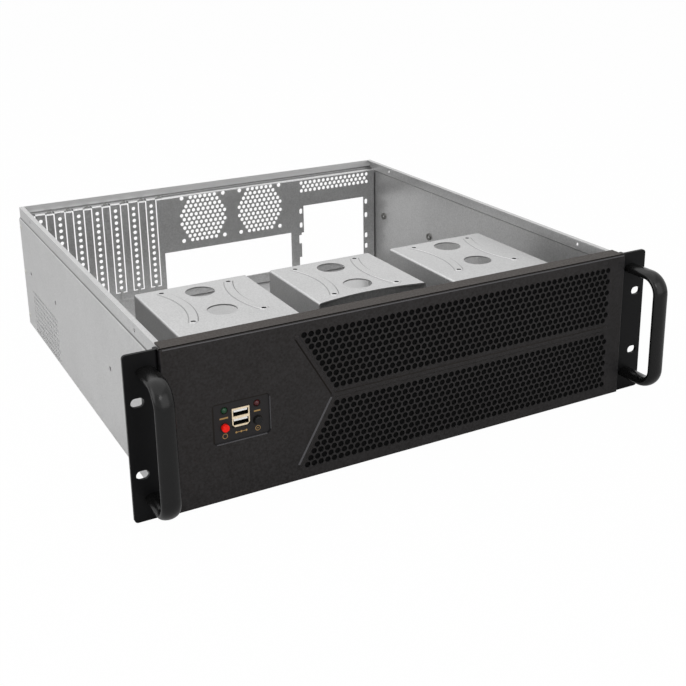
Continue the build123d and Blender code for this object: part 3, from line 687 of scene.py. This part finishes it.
def soften(mesh, degrees=30.0):
    """Shade a mesh smoothly where its faces meet at less than an angle, and keep flat sheet flat."""
    mesh.shade_smooth()
    mesh.set_sharp_from_angle(angle=math.radians(degrees))
    for face in mesh.polygons:
        if max(abs(part) for part in face.normal) > FLAT:
            face.use_smooth = False


def lathed(name, outline, sides):
    """A closed turned shape, its outline given as (radius, height) from the top to the bottom."""
    form = bmesh.new()
    points = [form.verts.new((radius * MM, 0, height * MM)) for radius, height in outline]
    edges = [form.edges.new(pair) for pair in zip(points, points[1:])]
    bmesh.ops.spin(
        form, geom=points + edges, axis=(0, 0, 1), cent=(0, 0, 0), steps=sides,
        angle=2 * math.pi, use_merge=True,
    )
    bmesh.ops.remove_doubles(form, verts=form.verts, dist=0.001 * MM)
    bmesh.ops.recalc_face_normals(form, faces=form.faces)
    return form_object(name, form)


def prism(name, outline, low, high):
    """A closed upright shape over an outline of (x, y) corners."""
    form = bmesh.new()
    rings = [[form.verts.new((x * MM, y * MM, z * MM)) for x, y in outline] for z in (low, high)]
    for ring in rings:
        form.faces.new(ring)
    for index in range(len(outline)):
        form.faces.new((rings[0][index - 1], rings[0][index], rings[1][index], rings[1][index - 1]))
    bmesh.ops.recalc_face_normals(form, faces=form.faces)
    return form_object(name, form)


def form_object(name, form):
    """Turn a finished form into an object."""
    mesh = bpy.data.meshes.new(name)
    form.to_mesh(mesh)
    form.free()
    return put(name, mesh)


def cross(half_width, half_length):
    """The outline of a cross recess."""
    arm = [(half_width, half_length), (half_width, half_width), (half_length, half_width)]
    turns = [(1, 0, 0, 1), (0, 1, -1, 0), (-1, 0, 0, -1), (0, -1, 1, 0)]
    return [(a * x + b * y, c * x + d * y) for a, b, c, d in turns for x, y in arm]


def ring_outline(radius, sides):
    """The outline of a round or six-sided recess."""
    turns = [2 * math.pi * index / sides for index in range(sides)]
    return [(radius * math.cos(turn), radius * math.sin(turn)) for turn in turns]


def new_tree(name, sockets):
    """An empty node group with a geometry in and out and named inputs for its sizes."""
    tree = bpy.data.node_groups.new(name, "GeometryNodeTree")
    tree.interface.new_socket("Geometry", in_out="INPUT", socket_type="NodeSocketGeometry")
    for label, kind in sockets:
        tree.interface.new_socket(label, in_out="INPUT", socket_type=kind)
    tree.interface.new_socket("Geometry", in_out="OUTPUT", socket_type="NodeSocketGeometry")
    return tree, tree.nodes.new("NodeGroupInput")


def close_tree(tree, shape, given):
    """End a tree in plain geometry with its material."""
    plain = add(tree, "GeometryNodeRealizeInstances", {}, {"Geometry": shape})
    coated = add(
        tree, "GeometryNodeSetMaterial", {},
        {"Geometry": plain.outputs[0], "Material": given.outputs["Material"]},
    )
    add(tree, "NodeGroupOutput", {}, {"Geometry": coated.outputs[0]})


def punch_tree():
    """Cuts a round hole through a sheet at each given place."""
    tree, given = new_tree("punched_holes", [
        ("Places", "NodeSocketObject"), ("Radius", "NodeSocketFloat"), ("Length", "NodeSocketFloat"),
        ("Sides", "NodeSocketInt"), ("Material", "NodeSocketMaterial"),
    ])
    places = add(tree, "GeometryNodeObjectInfo", {}, {"Object": given.outputs["Places"]})
    turn = add(tree, "GeometryNodeInputNamedAttribute", {"data_type": "FLOAT_VECTOR", "Name": "turn"})
    pin = add(tree, "GeometryNodeMeshCylinder", {}, {
        "Vertices": given.outputs["Sides"], "Radius": given.outputs["Radius"],
        "Depth": given.outputs["Length"],
    })
    pins = add(tree, "GeometryNodeInstanceOnPoints", {}, {
        "Points": places.outputs["Geometry"], "Instance": pin.outputs["Mesh"],
        "Rotation": turn.outputs["Attribute"],
    })
    solid = add(tree, "GeometryNodeRealizeInstances", {}, {"Geometry": pins.outputs[0]})
    cut = add(tree, "GeometryNodeMeshBoolean", {"operation": "DIFFERENCE", "solver": "MANIFOLD"}, {
        "Mesh 1": given.outputs["Geometry"], "Mesh 2": solid.outputs[0],
    })
    close_tree(tree, cut.outputs[0], given)
    return tree


def fastener_tree():
    """Presses a recess into a head and sets one such screw or rivet at each given place."""
    tree, given = new_tree("set_fasteners", [
        ("Places", "NodeSocketObject"), ("Fastener", "NodeSocketObject"),
        ("Recess", "NodeSocketObject"), ("Material", "NodeSocketMaterial"),
    ])
    places = add(tree, "GeometryNodeObjectInfo", {}, {"Object": given.outputs["Places"]})
    shape = add(tree, "GeometryNodeObjectInfo", {}, {"Object": given.outputs["Fastener"]})
    recess = add(tree, "GeometryNodeObjectInfo", {}, {"Object": given.outputs["Recess"]})
    pressed = add(tree, "GeometryNodeMeshBoolean", {"operation": "DIFFERENCE", "solver": "MANIFOLD"}, {
        "Mesh 1": shape.outputs["Geometry"], "Mesh 2": recess.outputs["Geometry"],
    })
    turn = add(tree, "GeometryNodeInputNamedAttribute", {"data_type": "FLOAT_VECTOR", "Name": "turn"})
    set_in = add(tree, "GeometryNodeInstanceOnPoints", {}, {
        "Points": places.outputs["Geometry"], "Instance": pressed.outputs[0],
        "Rotation": turn.outputs["Attribute"],
    })
    close_tree(tree, set_in.outputs[0], given)
    return tree


def settle(piece, modifier):
    """Keep what a modifier makes as a plain mesh, and drop the modifier."""
    bpy.context.view_layer.update()
    view = bpy.context.evaluated_depsgraph_get()
    mesh = bpy.data.meshes.new_from_object(piece.evaluated_get(view))
    piece.modifiers.remove(modifier)
    piece.data = mesh


def clear(*helpers):
    """Delete shapes and places that only served to make a piece."""
    for helper in helpers:
        bpy.data.objects.remove(helper)


def run_tree(piece, tree, values):
    """Feed a tree its named inputs and keep what it makes as the piece's mesh."""
    modifier = piece.modifiers.new(tree.name, "NODES")
    modifier.node_group = tree
    for item in tree.interface.items_tree:
        if item.in_out == "INPUT" and item.name in values:
            modifier[item.identifier] = values[item.name]
    settle(piece, modifier)


PUNCH = punch_tree()
SET_FASTENERS = fastener_tree()


def trim(piece, outline, low, high):
    """Cut away what lies over an outline of (x, y) corners."""
    cutter = prism(piece.name + "_cutter", outline, low, high)
    cut = piece.modifiers.new("trim", "BOOLEAN")
    cut.operation = "DIFFERENCE"
    cut.solver = "MANIFOLD"
    cut.object = cutter
    settle(piece, cut)
    clear(cutter)


def punched(name, node, places, radius, sides, material, length=6.0, trims=()):
    """A sheet with round holes, which stands for its CAD node."""
    points = place_mesh(name + "_places", places)
    piece = merged_copy(name, node)
    for outline, low, high in trims:
        trim(piece, outline, low, high)
    run_tree(piece, PUNCH, {
        "Places": points, "Radius": radius * MM, "Length": length * MM, "Sides": sides,
        "Material": material,
    })
    clear(points)
    soften(piece.data)
    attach(piece, "case")
    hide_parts(node)


def fastened(name, node, places, outline, recess, material, sides=20):
    """Screws or rivets in their seats, which stand for their CAD node."""
    points = place_mesh(name + "_places", places)
    shape = lathed(name + "_shape", outline, sides)
    hollow = prism(name + "_recess", *recess)
    piece = put(name, bpy.data.meshes.new(name))
    run_tree(piece, SET_FASTENERS, {
        "Places": points, "Fastener": shape, "Recess": hollow, "Material": material,
    })
    clear(points, shape, hollow)
    soften(piece.data, 35.0)
    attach(piece, "case")
    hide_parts(node)


# Outlines of the fasteners, as (radius, height) from the middle of the head to the tip

COVER_SCREW = [
    (0, 1.1), (0.9, 1.06), (1.7, 0.86), (2.2, 0.45), (2.3, 0), (1.6, 0), (1.6, -5.6), (1.2, -6), (0, -6),
]
BOARD_SCREW = [
    (0, 1.4), (0.9, 1.32), (1.7, 1.0), (2.15, 0.45), (2.2, 0), (1.1, 0), (1.1, -5.7), (0.8, -6), (0, -6),
]
EAR_SCREW = [(0, 0), (3.85, 0), (4, -0.15), (2, -2), (2, -4.6), (1.7, -4.9), (0, -4.9)]
HANDLE_SCREW = [(0, 0), (3.85, 0), (4, -0.15), (2, -2), (2, -9.7), (1.7, -10), (0, -10)]
RIVET = [(0, 0.8), (1.4, 0.74), (2.3, 0.5), (2.8, 0.12), (2.8, 0), (1.6, 0), (1.6, -2.3), (0, -2.3)]

# Recesses in their heads, each as an outline and the heights between which it is cut

CROSS_IN_PAN = (cross(0.3, 1.3), 0.45, 2.0)
CROSS_IN_SINK = (cross(0.45, 2.0), -0.9, 1.0)
HEX_IN_SINK = (ring_outline(1.45, 6), -1.4, 1.0)
MANDREL_HOLE = (ring_outline(0.75, 10), 0.2, 2.0)

# A contact blade, which lies flat under its tongue, and the nose that is coined into it

BLADE = ([(-0.5, 0), (0.5, 0), (0.5, 8), (-0.5, 8)], -0.45, 0.05)
NOSE = ([(-0.7, -0.2), (0.7, -0.2), (0.7, 0.5), (-0.7, 0.5)], -0.6, -0.25)


# Places of holes and fasteners, as (place, turn) pairs

THROUGH_FRONT = (90.0, 0.0, 0.0)
THROUGH_SIDE = (0.0, 90.0, 0.0)
HEAD_UP = (0.0, 0.0, 0.0)
HEAD_LEFT = (0.0, -90.0, 0.0)
HEAD_RIGHT = (0.0, 90.0, 0.0)
HEAD_BACK = (-90.0, 0.0, 0.0)


def field_places():
    """Holes of the pan's two fields, staggered and leaning along the pressed ridge."""
    places = []
    for side in (-1, 1):
        for row in range(FIELD_ROWS):
            z = PAN_MIDDLE + side * (FIELD_FIRST_ROW + FIELD_ROW_PITCH * row)
            start = FIELD_START - FIELD_LEAN * row
            count = int((FIELD_END - start) / FIELD_PITCH) + 1
            for column in range(count):
                places.append(((start + column * FIELD_PITCH, PAN_WALL_Y, z), THROUGH_FRONT))
    return places


def vent_places():
    """Small staggered holes in the left wall."""
    places = []
    for row in range(VENT_ROWS):
        z = VENT_FIRST_Z + row * VENT_ROW_PITCH
        y = VENT_FIRST_Y + (row % 2) * VENT_PITCH / 2
        while y <= VENT_LAST_Y:
            places.append(((VENT_X, y, z), THROUGH_SIDE))
            y += VENT_PITCH
    return places


def panel_places():
    """Holes of the fan grilles and of the strip above the supply's opening."""
    places = []
    reach = int(FAN_RADIUS / FAN_PITCH_Z) + 1
    for row in range(-reach, reach + 1):
        for column in range(-reach, reach + 1):
            x = (column + 0.5 * (row % 2)) * FAN_PITCH_X
            z = row * FAN_PITCH_Z
            if math.hypot(x, z) <= FAN_RADIUS:
                for centre in FAN_CENTRES:
                    places.append(((centre + x, PANEL_Y, FAN_Z + z), THROUGH_FRONT))
    for row in range(STRIP_ROWS):
        inset = row % 2
        for column in range(STRIP_COLUMNS - inset):
            x = STRIP_FIRST_X + (column + 0.5 * inset) * STRIP_PITCH
            places.append(((x, PANEL_Y, STRIP_TOP_Z - row * STRIP_RISE), THROUGH_FRONT))
    return places


def cover_places(index):
    """The column of holes down one slot cover."""
    x = SLOT_FIRST_X + index * SLOT_PITCH
    return [
        ((x, PANEL_Y, COVER_HOLE_TOP - hole * COVER_HOLE_PITCH), THROUGH_FRONT)
        for hole in range(COVER_HOLES)
    ]


def cover_screw_places():
    """Screws through the slot covers' tabs into the ledge."""
    first = SLOT_FIRST_X + SLOT_PITCH / 2
    return [
        ((first + index * SLOT_PITCH, COVER_SCREW_Y, COVER_SCREW_Z), HEAD_UP)
        for index in range(SLOT_COUNT)
    ]


def side_places(x, y, rows):
    """Fasteners through both sides, their heads facing out."""
    left = [((-x, y, z), HEAD_LEFT) for z in rows]
    return left + [((x, y, z), HEAD_RIGHT) for z in rows]


def cage_rivet_places():
    """Rivets through the cages' feet."""
    outer = [((x, y, CAGE_RIVET_Z), HEAD_UP) for x in OUTER_CAGE_RIVETS for y in OUTER_RIVET_ROWS]
    middle = [
        ((x, y, CAGE_RIVET_Z), HEAD_UP) for x in MIDDLE_CAGE_RIVETS for y in MIDDLE_RIVET_ROWS
    ]
    return outer + middle


def handle_screw_places():
    """Screws from behind the ears into the handles' ends."""
    return [((x, 0, z), HEAD_BACK) for x in (-HANDLE_X, HANDLE_X) for z in HANDLE_SCREW_ROWS]


def board_screw_places():
    """Screws through the circuit board into the posts."""
    return [
        ((x, BOARD_FACE_Y, z), HEAD_BACK) for x in BOARD_SCREW_COLUMNS for z in BOARD_SCREW_ROWS
    ]


def contact_places():
    """Contact blades under the tongues of both sockets."""
    return [
        ((SOCKET_CENTRE[0] + x, SOCKET_LIP_Y + CONTACT_INSET, z), HEAD_UP)
        for z in CONTACT_HEIGHTS for x in CONTACT_COLUMNS
    ]


def flange_trim(side):
    """What is cut from one side of the lid's flange: its outline, and between which heights."""
    near, far = sorted(side * x for x in FLANGE_TRIM)
    front, back = FLANGE_TRIM_DEPTH
    return [(near, front), (far, front), (far, back), (near, back)], *FLANGE_TRIM_HEIGHT


# Camera, light and floor


def set_camera():
    """The photograph's view."""
    turn = math.radians(CAMERA_TURN)
    rise = math.radians(CAMERA_RISE)
    roll = math.radians(CAMERA_ROLL)
    back = Vector((math.sin(turn) * math.cos(rise), -math.cos(turn) * math.cos(rise), math.sin(rise)))
    right = (-back).cross(Vector((0, 0, 1))).normalized()
    up = right.cross(-back)
    right_rolled = math.cos(roll) * right + math.sin(roll) * up
    up_rolled = -math.sin(roll) * right + math.cos(roll) * up
    lens = bpy.data.cameras.new("photograph_view")
    lens.lens = CAMERA_LENS
    lens.sensor_width = 36.0
    lens.shift_y = CAMERA_SHIFT
    lens.clip_start = 0.01
    lens.clip_end = 60.0
    camera = bpy.data.objects.new("photograph_view", lens)
    bpy.context.scene.collection.objects.link(camera)
    turned = Matrix((right_rolled, up_rolled, back)).transposed().to_4x4()
    camera.matrix_world = Matrix.Translation(Vector(CAMERA_PLACE) * MM) @ turned
    bpy.context.scene.camera = camera


def set_lamp(name, place, aim, size, power):
    """One soft square lamp that looks at a point."""
    lamp = bpy.data.lights.new(name, "AREA")
    lamp.shape = "SQUARE"
    lamp.size = size
    lamp.energy = power
    holder = bpy.data.objects.new(name, lamp)
    bpy.context.scene.collection.objects.link(holder)
    holder.location = place
    holder.rotation_euler = (Vector(aim) - Vector(place)).to_track_quat("-Z", "Y").to_euler()


def set_world(ambient):
    """White behind the object and in its reflections, and a dimmer even light on it."""
    world = bpy.data.worlds.new("studio")
    world.use_nodes = True
    bpy.context.scene.world = world
    tree = world.node_tree
    tree.nodes.clear()
    path = add(tree, "ShaderNodeLightPath")
    seen = add(tree, "ShaderNodeMath", {"operation": "MAXIMUM"}, {
        0: path.outputs["Is Camera Ray"], 1: path.outputs["Is Glossy Ray"],
    })
    shown = add(tree, "ShaderNodeMath", {"operation": "MAXIMUM"}, {
        0: seen.outputs[0], 1: path.outputs["Is Transmission Ray"],
    })
    level = add(
        tree, "ShaderNodeMapRange", {"To Min": ambient, "To Max": 1.0}, {"Value": shown.outputs[0]},
    )
    glow = add(tree, "ShaderNodeBackground", {"Color": (1, 1, 1, 1)}, {"Strength": level.outputs[0]})
    add(tree, "ShaderNodeOutputWorld", {}, {"Surface": glow.outputs[0]})


def set_floor(lift):
    """A pale matt floor that reads as white and keeps the object's soft shadow."""
    half = 12.0
    mesh = bpy.data.meshes.new("studio_floor")
    corners = [(-half, -half, 0), (half, -half, 0), (half, half, 0), (-half, half, 0)]
    mesh.from_pydata(corners, [], [(0, 1, 2, 3)])
    floor = put("studio_floor", mesh)
    paper = bpy.data.materials.new("paper_sweep_white")
    paper.use_nodes = True
    tree = paper.node_tree
    tree.nodes.clear()
    matt = add(tree, "ShaderNodeBsdfDiffuse", {"Color": shade("#F2F2F2")})
    white = add(tree, "ShaderNodeEmission", {"Color": (1, 1, 1, 1), "Strength": 1.0})
    path = add(tree, "ShaderNodeLightPath")
    share = add(
        tree, "ShaderNodeMath", {"operation": "MULTIPLY", 1: lift}, {0: path.outputs["Is Camera Ray"]},
    )
    mixed = add(tree, "ShaderNodeMixShader", {}, {
        0: share.outputs[0], 1: matt.outputs[0], 2: white.outputs[0],
    })
    add(tree, "ShaderNodeOutputMaterial", {}, {"Surface": mixed.outputs[0]})
    mesh.materials.append(paper)


set_camera()
set_world(ambient=0.25)
set_floor(lift=0.985)
for name, (place, aim, size, power) in LAMPS.items():
    set_lamp(name, place, aim, size, power)
bpy.context.scene.view_settings.view_transform = "Standard"

# Materials of the CAD nodes

NODE_FINISH = {
    "control_plate": printed_powder_coat,
    "drive_cage_left": pressed_zinc_sheet,
    "drive_cage_middle": pressed_zinc_sheet,
    "drive_cage_right": pressed_zinc_sheet,
    "rail_nuts": darker_grey_screw,
    "handle_left": black_anodised,
    "handle_right": black_anodised,
}
for node, shown in frame["nodes"].items():
    shown.material_slots[0].material = NODE_FINISH.get(node, SLOT_FINISH[SLOT_OF[node]])

# Punched sheets

punched("front_pan_perforated", "front_panel", field_places(), FIELD_HOLE, 12, black_powder_coat)
punched(
    "tray_vented", "chassis_tray", vent_places(), VENT_HOLE, 10, folded_zinc_sheet,
    trims=[flange_trim(-1), flange_trim(1)],
)
punched("rear_panel_perforated", "rear_panel", panel_places(), ROUND_HOLE, 14, shaded_and_lit_zinc_sheet)
for index in range(SLOT_COUNT):
    number = index + 1
    punched(
        f"slot_cover_punched_{number}", f"slot_cover_{number}", cover_places(index),
        COVER_HOLE, 14, shaded_and_lit_zinc_sheet,
    )

# Screws and rivets

fastened(
    "slot_cover_screws_pan_head", "slot_cover_screws", cover_screw_places(), COVER_SCREW,
    CROSS_IN_PAN, darker_grey_screw,
)
fastened(
    "board_screws_pan_head", "board_screws", board_screw_places(), BOARD_SCREW,
    CROSS_IN_PAN, plated_screw,
)
fastened(
    "ear_screws_sunk", "ear_screws", side_places(EAR_FACE_X, EAR_SCREW_Y, EAR_SCREW_ROWS),
    EAR_SCREW, CROSS_IN_SINK, blackened_screw,
)
fastened(
    "handle_screws_sunk", "handle_screws", handle_screw_places(), HANDLE_SCREW,
    HEX_IN_SINK, blackened_screw,
)
fastened("cage_rivets_domed", "cage_rivets", cage_rivet_places(), RIVET, MANDREL_HOLE, plated_screw)
fastened(
    "panel_rivets_domed", "panel_rivets", side_places(WALL_FACE_X, PANEL_RIVET_Y, PANEL_RIVET_ROWS),
    RIVET, MANDREL_HOLE, plated_screw,
)

# Contact blades of the double socket, each with a coined nose

blades = put("socket_contact_blades", bpy.data.meshes.new("socket_contact_blades"))
blade = prism("blade_shape", *BLADE)
nose = prism("blade_nose", *NOSE)
blade_points = place_mesh("blade_places", contact_places())
run_tree(blades, SET_FASTENERS, {
    "Places": blade_points, "Fastener": blade, "Recess": nose, "Material": stamped_bronze,
})
clear(blade_points, blade, nose)
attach(blades, "case")
